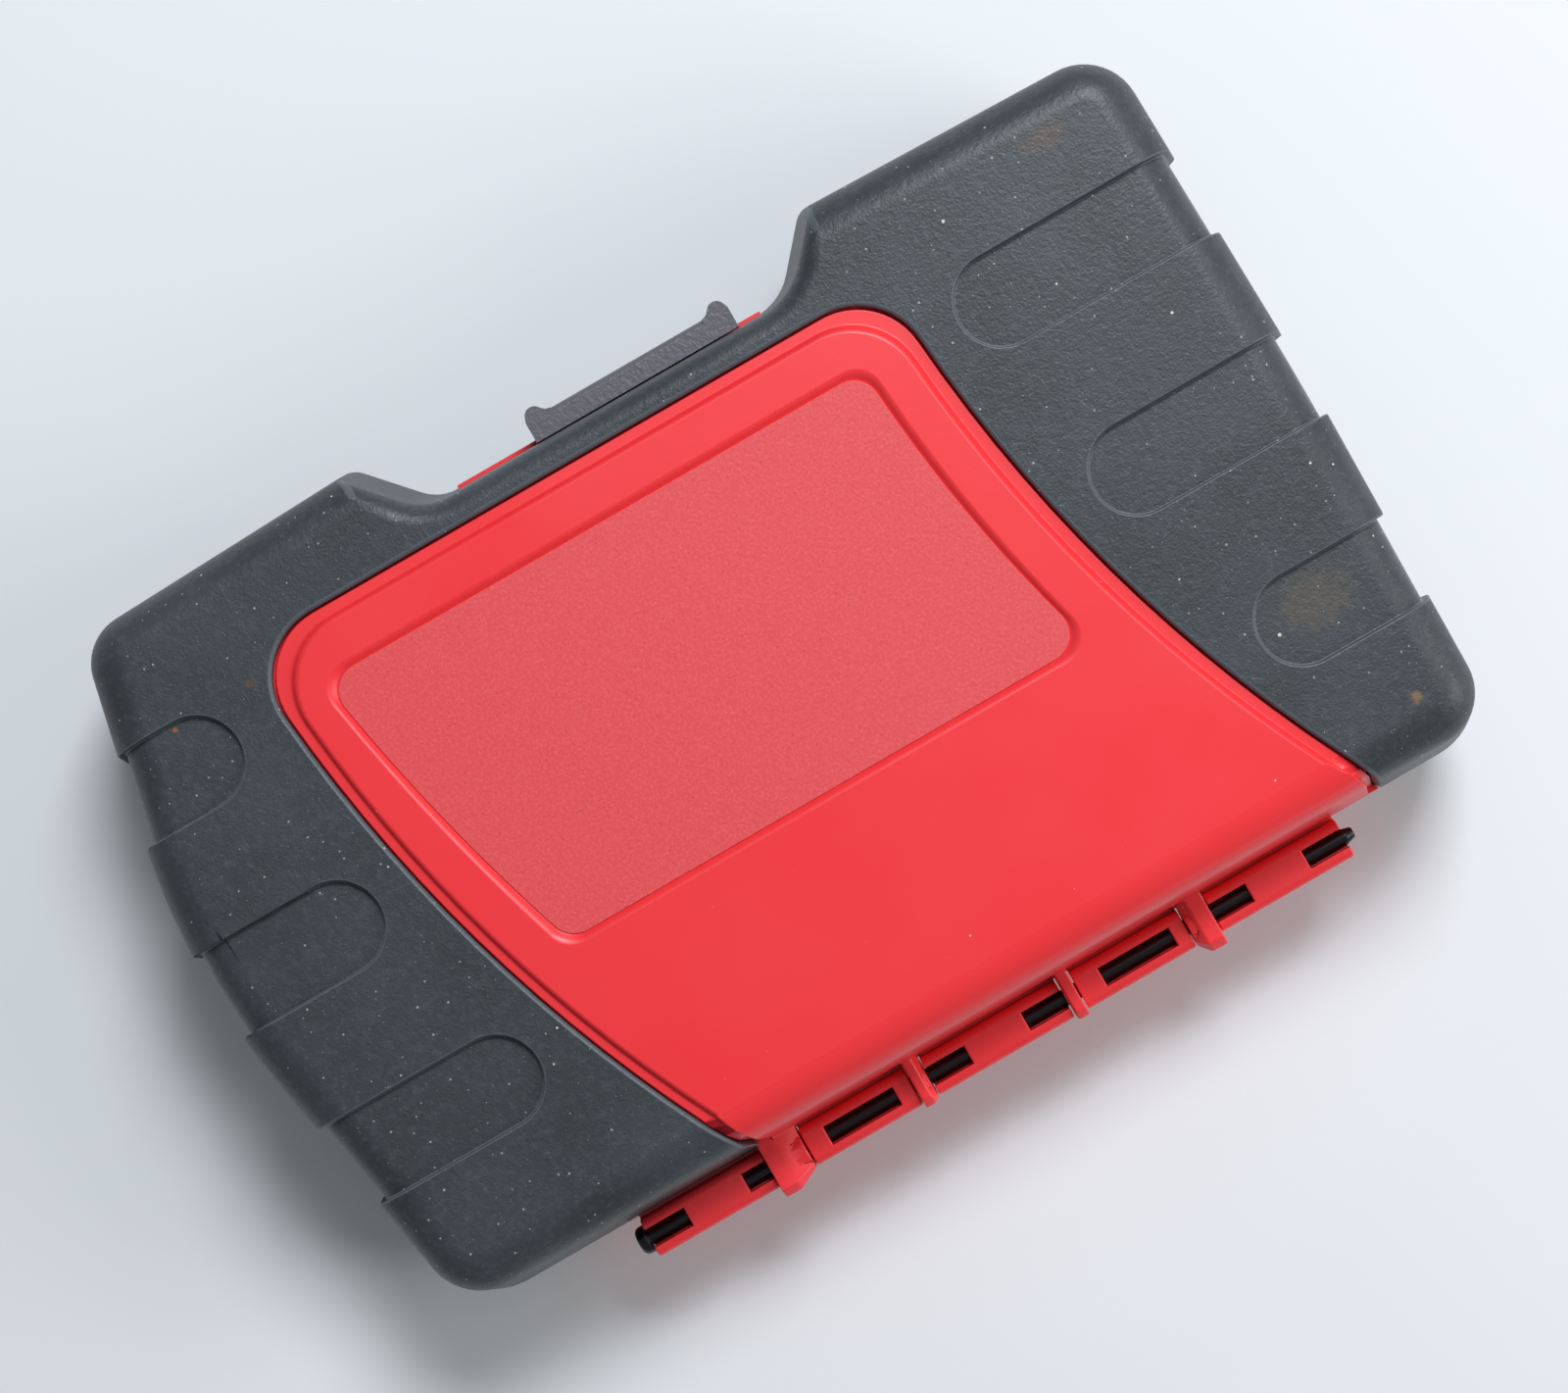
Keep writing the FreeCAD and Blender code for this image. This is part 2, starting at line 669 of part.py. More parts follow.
# Racks, rods, cranks and bits
for rack, (name, pivot, half_height) in enumerate(
        zip(rack_names, rack_pivots, rack_half_heights)):
    y, z = pivot
    x0 = rack_middle - half_rack
    x1 = rack_middle + half_rack
    front = y - rack_reach
    bar = box(x0, x1, front, y, z - half_height, z + half_height)
    fronts = [e for e in bar.Edges if e.BoundBox.YMax < front + fit_gap
              and e.BoundBox.XLength > half_rack]
    bar = bar.makeFillet(rack_edge, fronts)
    bar = bar.fuse(rod_x(x0, x1, y, z, half_height))
    cuts = [rod_x(x0 - overrun, x1 + overrun, y, z, rod_diameter / 2 + fit_gap)]
    pitch = (rack_length - 2 * bit_margin) / (bits_per_rack - 1)
    first_place = rack * bits_per_rack
    for place, bit_name in enumerate(bit_names[first_place:first_place + bits_per_rack]):
        number = first_bit + first_place + place
        radius = number * bit_step / 2
        length = shortest_bit + (number - first_bit) * length_step
        x = x0 + bit_margin + place * pitch
        point = radius / math.tan(math.radians(point_angle / 2))
        cuts.append(Part.makeCylinder(radius + fit_gap, bit_seat + overrun,
                                      V(x, front + bit_seat, z), V(0, -1, 0)))
        body = Part.makeCylinder(radius, length - point, V(x, front + bit_seat, z), V(0, -1, 0))
        cone = Part.makeCone(radius, 0, point, V(x, front + bit_seat - length + point, z),
                             V(0, -1, 0))
        bit = body.fuse(cone).removeSplitter()
        save(bit, "drill_bit_" + bit_name)
    save(bar.cut(Part.makeCompound(cuts)).removeSplitter(), "rack_bar_" + name)
    rod = rod_x(across(-1, crank_outer), across(1, crank_outer), y, z, rod_diameter / 2)
    save(rod, "rack_rod_" + name)
    cranks = []
    for side in (1, -1):
        arm = bar_x(across(side, crank_inner), across(side, crank_outer), pivot,
                    crank_end(pivot), crank_half_width)
        pin = rod_x(across(side, crank_outer - overrun),
                    across(side, link_outer + clearance / 2), *crank_end(pivot),
                    link_pin_diameter / 2)
        bore = rod_x(across(side, crank_inner - overrun), across(side, crank_outer + overrun),
                     y, z, rod_diameter / 2 + fit_gap)
        cranks.append(arm.fuse(pin).cut(bore).removeSplitter())
    save(Part.makeCompound(cranks), "rack_cranks_" + name)

# Links join the cranks to the lid
for side, name in ((1, "link_right"), (-1, "link_left")):
    x0 = across(side, link_inner)
    x1 = across(side, link_outer)
    joints = [crank_end(pivot) for pivot in rack_pivots] + [lid_joint]
    bars = [bar_x(x0, x1, joints[i], joints[i + 1], link_half_width) for i in range(3)]
    link = bars[0].multiFuse(bars[1:])
    holes = [rod_x(x0 - link_thickness * 2, x0 + link_thickness * 2, *joint,
                   link_pin_diameter / 2 + fit_gap) for joint in joints]
    save(link.cut(Part.makeCompound(holes)).removeSplitter(), name)
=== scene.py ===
import json
import math

import bmesh
import bpy
from mathutils import Matrix, Vector
from mathutils.bvhtree import BVHTree


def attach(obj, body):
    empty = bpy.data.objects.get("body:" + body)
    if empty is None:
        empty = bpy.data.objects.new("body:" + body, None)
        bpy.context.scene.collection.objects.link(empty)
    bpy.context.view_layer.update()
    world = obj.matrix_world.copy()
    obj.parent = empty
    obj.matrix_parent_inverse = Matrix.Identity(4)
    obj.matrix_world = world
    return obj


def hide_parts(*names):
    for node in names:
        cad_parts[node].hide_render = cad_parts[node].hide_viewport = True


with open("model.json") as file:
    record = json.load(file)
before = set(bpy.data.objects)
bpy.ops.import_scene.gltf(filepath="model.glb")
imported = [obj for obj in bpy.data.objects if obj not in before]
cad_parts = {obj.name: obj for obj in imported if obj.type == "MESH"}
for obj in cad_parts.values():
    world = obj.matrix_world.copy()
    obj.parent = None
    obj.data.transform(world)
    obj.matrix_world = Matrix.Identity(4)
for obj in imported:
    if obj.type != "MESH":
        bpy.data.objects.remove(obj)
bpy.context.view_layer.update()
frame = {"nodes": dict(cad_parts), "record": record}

MM = 0.001
METRE = 1000.0

# Camera: it looks straight down from above the case, turned against its outline
CAMERA_HEIGHT = 641.0
CAMERA_FOOT = (-20.75, 14.55)
CAMERA_TURN = 150.0
CAMERA_NEAR = 10.0
FOCAL_PIXELS = 3444.0
PICTURE_WIDTH = 1600.0
SHIFT_PIXELS = (-136.0, 28.0)
SENSOR = 36.0

# Floor in m and mm, and lamps by name, place and side in m, power in W and colour
FLOOR_HALF = 3.0
FLOOR_DROP = 0.2
LAMPS = (
    ("key", (-0.56, -0.62, 1.25), 0.5, 18.5, "#F4F8FF"),
    ("side", (-0.85, 0.42, 0.52), 0.6, 4.6, "#FFFFFF"),
)
SKY_COLOUR = "#EEF4FA"
SKY_STRENGTH = 0.25

# Places on the case in mm, as in the part's source
CASE_TOP = 50.0
GROOVE_WIDTH = 16.8
GROOVE_PITCH = 37.35
GROOVE_MIDDLE = -5.2
GROOVE_ENDS = {1: (83.65, 76.75, 66.15), -1: (-62.3, -68.05, -80.05)}
BACK_ROLL_Y = 54.0
BACK_ROLL_Z = 47.0
RACKS = ("low", "mid", "top")

# Crests of the grips and the rim of the lid, in mm from the case's flat faces
CREST_ZONE = 9.0
GROOVE_MARGIN = 0.6
RIM_ZONE = 1.2

# Rounded edges: from which angle, in how many steps, and how wide in mm on each piece
SMOOTH_ANGLE = math.radians(32)
BEVEL_ANGLE = math.radians(27)
BEVEL_SEGMENTS = 3
NORMAL_WEIGHT = 100
SOFT_EDGES = {
    "lid_shell": 0.35, "lid_grip": 0.35, "base_shell": 0.3, "base_grip": 0.35,
    "latch": 0.25, "label_panel": 0.15, "hinge_pin": 0.15,
    "rack_bracket_right": 0.25, "rack_bracket_left": 0.25,
    "link_right": 0.2, "link_left": 0.2,
}
for rack in RACKS:
    SOFT_EDGES["rack_bar_" + rack] = 0.3
    SOFT_EDGES["rack_cranks_" + rack] = 0.2
    SOFT_EDGES["rack_rod_" + rack] = 0.2
# Wider rounding of crests and rim in mm
CRESTS = {"lid_shell": 0.7, "lid_grip": 0.75, "base_grip": 0.75}

# Points nearer than this in mm, and faces flatter than this to each other, are merged
MERGE_DISTANCE = 0.001
FLAT_ANGLE = math.radians(0.5)

# Room for a rounding: the most in m, the share used, and the cosine of edges that run on
MOST_ROOM = 1.0
ROOM_SHARE = 0.4
RUNNING_ON = -0.8

# Faults of a rounding: distances in mm, a share of its width, a cosine and a count of corners
STRAY_SHARE = 0.6
STRAY_DISTANCE = 0.02
FAULT_REACH = 1.2
FOLDED = -0.2
LARGE_FACE = 9
TAMING_ROUNDS = 4

# Drill bits: lengths in mm or in radii, shares, and angles of the section in radians
POINT_ANGLE = 118.0
BIT_SEGMENTS = 36
BIT_SMOOTH_ANGLE = math.radians(40)
SHANK_SHARE = 0.38
SHORTEST_SHANK = 20.0
LEAD_DIAMETERS = 5.2
LEAD_STEPS = 22
FEWEST_STEPS = 24
FLUTE_ANGLE = 1.45
FLUTE_HALF = 0.98
FLUTE_DEPTH_SHARE = 0.66
FLUTE_HOLLOW = 1.3
RELIEF_START = 0.32
RELIEF_END = 2.9
RELIEF_SHARE = 0.955
RUNOUT_RADII = 2.2
RUNOUT_SHARE = 0.3
RUNOUT_EASE = 0.6

# Size figures on the rack bars in mm
FIGURE_HEIGHT = 4.6
FIGURE_RISE = 0.12
FIGURE_TO_EDGE = 5.5
FIGURE_CURVES = 3

# Pan head screws in mm
HEAD_RADIUS = 2.6
HEAD_HEIGHT = 1.4
HEAD_ROUND = 0.7
HEAD_ROUND_STEPS = 4
HEAD_SEGMENTS = 32
CROSS_REACH = 1.35
CROSS_HALF = 0.35
CROSS_DEPTH = 0.8
STEM_RADIUS = 1.5
STEM_SEGMENTS = 20
ON_FACE = 0.01
CUT_DISTANCE = 1e-5

# Soiled places on the grips: colour, strength, place, radius in mm, turn in degrees, stretch
GRIP_STAINS = (
    ("#5A4636", 0.55, (-91.0, -63.5, 50.0), 3.0, 30.0, 2.0),
    ("#8A6A45", 0.7, (-98.8, 54.2, 50.0), 1.5, 0.0, 1.0),
    ("#6E5E48", 0.3, (-92.0, 30.5, 48.0), 7.0, 150.0, 1.5),
    ("#6B4A30", 0.5, (77.0, -50.0, 50.0), 1.1, 0.0, 1.0),
    ("#9C5A36", 0.8, (92.6, -49.7, 49.0), 0.7, 0.0, 1.0),
)
TATTER_SIZE = 1.5
TATTER_SHARE = 0.6
TATTER_DETAIL = 4.0
STAIN_CORE = 0.3
STAIN_FLATNESS = 0.25
GRAIN_ROUGHNESS = 0.55

# Dust on the grips: colour, strength, cell and largest radius in mm, share of cells
GRIP_DUST = (
    ("#7C8488", 0.5, 0.9, 0.15, 0.5),
    ("#B4B4AE", 0.7, 1.7, 0.22, 0.6),
    ("#DCD8D0", 0.85, 3.8, 0.34, 0.55),
)


def linear(colour):
    """A "#rrggbb" colour as linear RGBA."""
    parts = [int(colour[i:i + 2], 16) / 255 for i in (1, 3, 5)]
    return tuple(p / 12.92 if p <= 0.04045 else ((p + 0.055) / 1.055) ** 2.4 for p in parts) + (1,)


def node(tree, kind, sockets=None, **settings):
    """Adds a node: each socket, by name or number, gets a link or a value."""
    made = tree.nodes.new(kind)
    for name, value in settings.items():
        setattr(made, name, value)
    for name, value in (sockets or {}).items():
        if isinstance(value, bpy.types.NodeSocket):
            tree.links.new(value, made.inputs[name])
        else:
            made.inputs[name].default_value = value
    return made


def start_material(name, colour, roughness, **more):
    """A material with its shader: returns the material, its tree, the shader and the place."""
    material = bpy.data.materials.new(name)
    material.use_nodes = True
    tree = material.node_tree
    tree.nodes.clear()
    sockets = {"Base Color": linear(colour), "Roughness": roughness, **more}
    shader = node(tree, "ShaderNodeBsdfPrincipled", sockets)
    node(tree, "ShaderNodeOutputMaterial", {"Surface": shader.outputs[0]})
    place = node(tree, "ShaderNodeTexCoord").outputs["Object"]
    return material, tree, shader, place


def grain(tree, place, size_mm, depth_mm, detail=2.0, under=None):
    """A bump of grains about size_mm across, over the bump that lies under it."""
    noise = node(tree, "ShaderNodeTexNoise", {
        "Vector": place, "Scale": METRE / size_mm, "Detail": detail,
        "Roughness": GRAIN_ROUGHNESS})
    sockets = {"Height": noise.outputs[0], "Strength": 1.0, "Distance": depth_mm * MM}
    if under:
        sockets["Normal"] = under
    return node(tree, "ShaderNodeBump", sockets).outputs[0]


def clouds(tree, place, size_mm, detail, low, high, faint=0.0, full=1.0, roughness=0.5):
    """A cloudy value from faint to full, where the noise runs from low to high."""
    noise = node(tree, "ShaderNodeTexNoise", {
        "Vector": place, "Scale": METRE / size_mm, "Detail": detail, "Roughness": roughness})
    return node(tree, "ShaderNodeMapRange", {
        "Value": noise.outputs[0], "From Min": low, "From Max": high,
        "To Min": faint, "To Max": full}).outputs[0]


def specks(tree, place, cell_mm, speck_mm, share):
    """A mask of dust specks: one in a share of the cells, up to speck_mm in radius."""
    cells = node(tree, "ShaderNodeTexVoronoi", {"Vector": place, "Scale": METRE / cell_mm})
    chance = node(tree, "ShaderNodeSeparateColor", {0: cells.outputs["Color"]})
    size = node(tree, "ShaderNodeMapRange", {
        "Value": chance.outputs[0], "From Min": 1 - share, "From Max": 1.0,
        "To Min": 0.0, "To Max": speck_mm / cell_mm})
    return node(tree, "ShaderNodeMath", {0: cells.outputs["Distance"], 1: size.outputs[0]},
                operation="LESS_THAN").outputs[0]


def stain(tree, place, centre, radius, turn, stretch):
    """A mask of a ragged patch round a place in mm; stretch makes it longer along its turn."""
    moved = node(tree, "ShaderNodeMapping", {
        "Vector": place, "Location": [-c * MM for c in centre]}, vector_type="POINT")
    turned = node(tree, "ShaderNodeMapping", {
        "Vector": moved.outputs[0], "Rotation": (0, 0, math.radians(-turn)),
        "Scale": (METRE / (radius * stretch), METRE / radius, STAIN_FLATNESS * METRE / radius)})
    distance = node(tree, "ShaderNodeVectorMath", {0: turned.outputs[0]}, operation="LENGTH")
    tatter = node(tree, "ShaderNodeTexNoise", {
        "Vector": place, "Scale": METRE / TATTER_SIZE, "Detail": TATTER_DETAIL})
    shift = node(tree, "ShaderNodeMath", {
        0: tatter.outputs[0], 1: TATTER_SHARE * 2, 2: distance.outputs["Value"]},
        operation="MULTIPLY_ADD")
    return node(tree, "ShaderNodeMapRange", {
        "Value": shift.outputs[0], "From Min": 1.0 + TATTER_SHARE,
        "From Max": STAIN_CORE + TATTER_SHARE, "To Min": 0.0, "To Max": 1.0},
        interpolation_type="SMOOTHSTEP").outputs[0]


def tint(tree, under, colour, mask, strength):
    """Lays a colour over another by a mask."""
    weight = node(tree, "ShaderNodeMath", {0: mask, 1: strength}, operation="MULTIPLY")
    return node(tree, "ShaderNodeMix", {
        0: weight.outputs[0], 6: under, 7: linear(colour)}, data_type="RGBA").outputs[2]


# Grains finer than a pixel are drawn here as coarse as they need to be to show


def moulded_red_abs():
    # ABS from a satin mould: a soft sheen over saturated red, with a little pale dust
    base = "#F23338"
    material, tree, shader, place = start_material("moulded_red_abs", base, 0.38, IOR=1.53)
    tree.links.new(grain(tree, place, size_mm=0.7, depth_mm=0.006), shader.inputs["Normal"])
    sheen = clouds(tree, place, size_mm=30, detail=4.0, low=0.3, high=0.7, faint=0.33, full=0.44)
    tree.links.new(sheen, shader.inputs["Roughness"])
    dust = specks(tree, place, cell_mm=5.0, speck_mm=0.22, share=0.5)
    colour = tint(tree, linear(base), "#F7C9C4", dust, strength=0.55)
    dust = specks(tree, place, cell_mm=2.2, speck_mm=0.11, share=0.5)
    colour = tint(tree, colour, "#F58E8A", dust, strength=0.5)
    tree.links.new(colour, shader.inputs["Base Color"])
    return material


def matte_label_film():
    # polyester film with a sanded face: no mirror shine, a fine even sparkle, paler red
    base = "#E0474B"
    material, tree, shader, place = start_material("matte_label_film", base, 0.5, IOR=1.5)
    fine = grain(tree, place, size_mm=0.7, depth_mm=0.05, detail=3.0)
    tree.links.new(fine, shader.inputs["Normal"])
    mottle = clouds(tree, place, size_mm=0.5, detail=2.0, low=0.45, high=0.75)
    colour = tint(tree, linear(base), "#F2908F", mottle, strength=0.2)
    grit = specks(tree, place, cell_mm=0.9, speck_mm=0.28, share=0.35)
    colour = tint(tree, colour, "#B03236", grit, strength=0.35)
    tree.links.new(colour, shader.inputs["Base Color"])
    return material


def soft_black_tpe(name="soft_black_tpe", depth_mm=0.08, base="#303538"):
    # thermoplastic rubber moulded with a leather grain: dull, greyish, and it holds dust
    material, tree, shader, place = start_material(name, base, 0.44, IOR=1.5)
    coarse = grain(tree, place, size_mm=1.1, depth_mm=depth_mm, detail=3.0)
    fine = grain(tree, place, size_mm=0.5, depth_mm=0.07, under=coarse)
    tree.links.new(fine, shader.inputs["Normal"])
    bloom = clouds(tree, place, size_mm=25, detail=5.0, low=0.35, high=0.7)
    colour = tint(tree, linear(base), "#4A5258", bloom, strength=0.35)
    scuffs = clouds(tree, place, size_mm=1.6, detail=6.0, low=0.48, high=0.72, roughness=0.7)
    colour = tint(tree, colour, "#646C70", scuffs, strength=0.22)
    for shade, strength, centre, radius, turn, stretch in GRIP_STAINS:
        mask = stain(tree, place, centre, radius, turn, stretch)
        colour = tint(tree, colour, shade, mask, strength)
    for shade, strength, cell_mm, speck_mm, share in GRIP_DUST:
        colour = tint(tree, colour, shade, specks(tree, place, cell_mm, speck_mm, share), strength)
    tree.links.new(colour, shader.inputs["Base Color"])
    return material


def grained_black_abs(name="grained_black_abs", base="#2A2D31", roughness=0.4, grain_mm=0.8,
                      depth_mm=0.04):
    # black ABS from a grained mould: a little shinier than the rubber; paler on the latch, where a
    # greyer tone is lifted further as a painted sheen of its slanted face
    material, tree, shader, place = start_material(name, base, roughness, IOR=1.53)
    fine = grain(tree, place, grain_mm, depth_mm, detail=3.0)
    tree.links.new(fine, shader.inputs["Normal"])
    dust = specks(tree, place, cell_mm=3.0, speck_mm=0.2, share=0.4)
    colour = tint(tree, linear(base), "#B4BABD", dust, strength=0.6)
    tree.links.new(colour, shader.inputs["Base Color"])
    return material


def zinc_plated_steel():
    # bright zinc on drawn steel: silvery with a slight cloudiness
    material, tree, shader, place = start_material(
        "zinc_plated_steel", "#B9BBBD", 0.3, Metallic=1.0)
    dull = clouds(tree, place, size_mm=4, detail=3.0, low=0.3, high=0.7, faint=0.24, full=0.4)
    tree.links.new(dull, shader.inputs["Roughness"])
    return material


def black_oxide_steel():
    # black oxide over turned steel: dark, with a thin oily shine
    material, tree, shader, place = start_material(
        "black_oxide_steel", "#3A3B3D", 0.34, Metallic=1.0)
    tree.links.new(grain(tree, place, size_mm=0.6, depth_mm=0.006), shader.inputs["Normal"])
    return material


def straw_tempered_steel():
    # high speed steel, ground and tempered: a straw colour with a fine ground grain
    material, tree, shader, place = start_material(
        "straw_tempered_steel", "#A98F66", 0.3, Metallic=1.0)
    tree.links.new(grain(tree, place, size_mm=0.25, depth_mm=0.004), shader.inputs["Normal"])
    return material


def white_pad_print():
    # printing ink on the raised figures: flat off-white without a shine
    return start_material("white_pad_print", "#C9CBCB", 0.55, IOR=1.5)[0]


def pale_floor_paper():
    # matt card: pale and even, so that only the case's shadow shows on it
    return start_material("pale_floor_paper", "#E6E9EA", 0.9)[0]


FINISH = {
    "red": moulded_red_abs(), "label": matte_label_film(), "grip": soft_black_tpe(),
    "black": grained_black_abs(), "steel": zinc_plated_steel(),
    "dark_steel": black_oxide_steel(), "bit_steel": straw_tempered_steel(),
}
# paler rubber for the rounded edges of the grips: partly wear, partly a painted highlight along
# the groove rims and crests
EDGE_WEAR_AND_HIGHLIGHT = soft_black_tpe("edge_wear_and_painted_highlight_tpe", 0.05, "#50575C")
# the latch's pale colour is partly its own greyer tone and partly a painted sheen of its slanted
# face
LATCH_ABS = grained_black_abs("latch_abs_painted_sheen", "#605E65", 0.45, grain_mm=0.9, depth_mm=0.16)
PRINT = white_pad_print()
SLOTS = {row["node"]: row["material_slot"] for row in frame["record"]["subparts"]}
BODIES = {name: body for body, names in frame["record"]["behaviour"]["bodies"].items()
          for name in names}


def by_groove(x, y):
    """Whether a place in mm lies in a finger groove or close beside one."""
    half = GROOVE_WIDTH / 2
    for side, ends in GROOVE_ENDS.items():
        for step, end in enumerate(ends):
            dy = y - (GROOVE_MIDDLE + (step - 1) * GROOVE_PITCH)
            dx = side * (end - x) + half
            if math.hypot(max(dx, 0.0), dy) < half + GROOVE_MARGIN:
                return True
    return False


def add_object(name, data):
    """Puts a mesh, text, lamp or camera into the scene."""
    made = bpy.data.objects.new(name, data)
    bpy.context.scene.collection.objects.link(made)
    return made


def drawn_mesh(piece):
    """A mesh of the piece as it is drawn, with its modifiers."""
    return bpy.data.meshes.new_from_object(
        piece.evaluated_get(bpy.context.evaluated_depsgraph_get()))


def mesh_of(form, name):
    """The mesh of a finished bmesh."""
    mesh = bpy.data.meshes.new(name)
    form.to_mesh(mesh)
    form.free()
    return mesh


def only_vertices(geometry):
    """The vertices among what a bmesh operator returns."""
    return [item for item in geometry if isinstance(item, bmesh.types.BMVert)]


def settle(mesh, body, materials, nodes=()):
    """Puts a finished mesh on a body, in place of the nodes that it stands for."""
    for material in materials:
        mesh.materials.append(material)
    piece = add_object(mesh.name, mesh)
    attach(piece, body)
    if nodes:
        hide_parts(*nodes)
    return piece


def soften(piece, width_mm, clamped):
    """Rounds the piece's edges by their weights, and keeps its flat faces flat."""
    bevel = piece.modifiers.new("soft_edges", "BEVEL")
    bevel.width = width_mm * MM
    bevel.segments = BEVEL_SEGMENTS
    bevel.limit_method = "WEIGHT"
    bevel.use_clamp_overlap = clamped
    materials = list(piece.data.materials)
    # the rounded edges of the grips take the paler rubber, which is partly wear and partly a
    # painted highlight
    if EDGE_WEAR_AND_HIGHLIGHT in materials:
        bevel.material = materials.index(EDGE_WEAR_AND_HIGHLIGHT)
    flat = piece.modifiers.new("flat_faces", "WEIGHTED_NORMAL")
    flat.mode = "FACE_AREA"
    flat.weight = NORMAL_WEIGHT
    flat.keep_sharp = True


def rounding_faults(drawn, surface, furthest, folds):
    """Points of a rounded mesh next to those that stray too far, and those of folded faces."""
    wild = {v.index for v in drawn.vertices if surface.find_nearest(v.co)[3] > furthest}
    faults = [drawn.vertices[i].co.copy() for edge in drawn.edges for i in edge.vertices
              if i not in wild and wild.intersection(edge.vertices)]
    for face in drawn.polygons if folds else ():
        small = len(face.vertices) < LARGE_FACE
        if small and face.normal.dot(surface.find_nearest(face.center)[1]) < FOLDED:
            faults += [drawn.vertices[i].co.copy() for i in face.vertices]
    return faults


def tame(piece, folds):
    """Leaves edges sharp where their rounding strays from the surface, or where it folds."""
    mesh = piece.data
    weights = mesh.attributes["bevel_weight_edge"].data
    surface = BVHTree.FromPolygons([v.co for v in mesh.vertices],
                                   [face.vertices for face in mesh.polygons])
    furthest = STRAY_SHARE * piece.modifiers["soft_edges"].width + STRAY_DISTANCE * MM
    for _ in range(TAMING_ROUNDS):
        drawn = drawn_mesh(piece)
        faults = rounding_faults(drawn, surface, furthest, folds)
        bpy.data.meshes.remove(drawn)
        for edge in mesh.edges if faults else ():
            ends = [mesh.vertices[i].co for i in edge.vertices]
            if weights[edge.index].value and any((end - fault).length < FAULT_REACH * MM
                                                 for end in ends for fault in faults):
                weights[edge.index].value = 0.0
        mesh.update()


def room(edge):
    """How far in mm an edge can be rounded before the rounding meets the next edges."""
    least = MOST_ROOM
    for vertex in edge.verts:
        along = (edge.other_vert(vertex).co - vertex.co).normalized()
        for other in vertex.link_edges:
            way = other.other_vert(vertex).co - vertex.co
            if other is not edge and way.dot(along) > RUNNING_ON * way.length:
                least = min(least, way.cross(along).length)
    return ROOM_SHARE * least / MM


def on_crest(name, middle):
    """Whether a place in mm lies on an edge that is rounded more than the others."""
    if name == "lid_shell":
        return middle.z > CASE_TOP - RIM_ZONE
    rise = middle.z if name == "base_grip" else CASE_TOP - middle.z
    return rise < CREST_ZONE and not by_groove(middle.x, middle.y)


def weigh_edges(form, name, bevel_mm, crest_mm):
    """Gives each edge its width of rounding as a share of the widest."""
    wide = max(bevel_mm, crest_mm)
    weights = form.edges.layers.float.new("bevel_weight_edge")
    for edge in form.edges if wide else ():
        middle = (edge.verts[0].co + edge.verts[1].co) / 2 / MM
        rolled = name == "lid_shell" and middle.y > BACK_ROLL_Y and middle.z > BACK_ROLL_Z
        if not rolled and edge.is_manifold and edge.calc_face_angle() > BEVEL_ANGLE:
            crested = crest_mm and edge.is_convex and on_crest(name, middle)
            edge[weights] = min(crest_mm if crested else bevel_mm, room(edge)) / wide


def dress(name):
    """A cleaned copy of a CAD node with soft edges, which stands for it."""
    bevel_mm = SOFT_EDGES.get(name, 0.0)
    crest_mm = CRESTS.get(name, 0.0)
    mesh = frame["nodes"][name].data.copy()
    mesh.name = name + "_skin"
    form = bmesh.new()
    form.from_mesh(mesh)
    bmesh.ops.remove_doubles(form, verts=form.verts, dist=MERGE_DISTANCE * MM)
    bmesh.ops.dissolve_limit(form, angle_limit=FLAT_ANGLE, verts=form.verts,
                             edges=form.edges, delimit=set())
    materials = [LATCH_ABS if name == "latch" else FINISH[SLOTS[name]]]
    if SLOTS[name] == "grip":
        materials.append(EDGE_WEAR_AND_HIGHLIGHT)
    weigh_edges(form, name, bevel_mm, crest_mm)
    form.to_mesh(mesh)
    form.free()
    mesh.materials.clear()
    mesh.shade_smooth()
    if not bevel_mm:
        mesh.set_sharp_from_angle(angle=SMOOTH_ANGLE)
    piece = settle(mesh, BODIES[name], materials, [name])
    if bevel_mm:
        soften(piece, max(bevel_mm, crest_mm), clamped=name == "latch")
        tame(piece, folds=name == "base_grip")


def reach(name):
    """The corners of a CAD node's box in mm."""
    corners = [vertex.co / MM for vertex in frame["nodes"][name].data.vertices]
    low = Vector([min(c[i] for c in corners) for i in range(3)])
    high = Vector([max(c[i] for c in corners) for i in range(3)])
    return low, high


def fluted_ring(form, radius):
    """The section of a bit: a circle with two flutes and the relief behind each lip."""
    ring = bmesh.ops.create_circle(form, cap_ends=False, radius=radius, segments=BIT_SEGMENTS)
    for vertex in ring["verts"]:
        angle = math.atan2(vertex.co.y, vertex.co.x) % math.pi
        share = max(0.0, 1 - abs(angle - FLUTE_ANGLE) / FLUTE_HALF)
        land = RELIEF_SHARE if RELIEF_START < angle < RELIEF_END else 1.0
        vertex.co *= land - FLUTE_DEPTH_SHARE * math.sin(share * math.pi / 2) ** FLUTE_HOLLOW


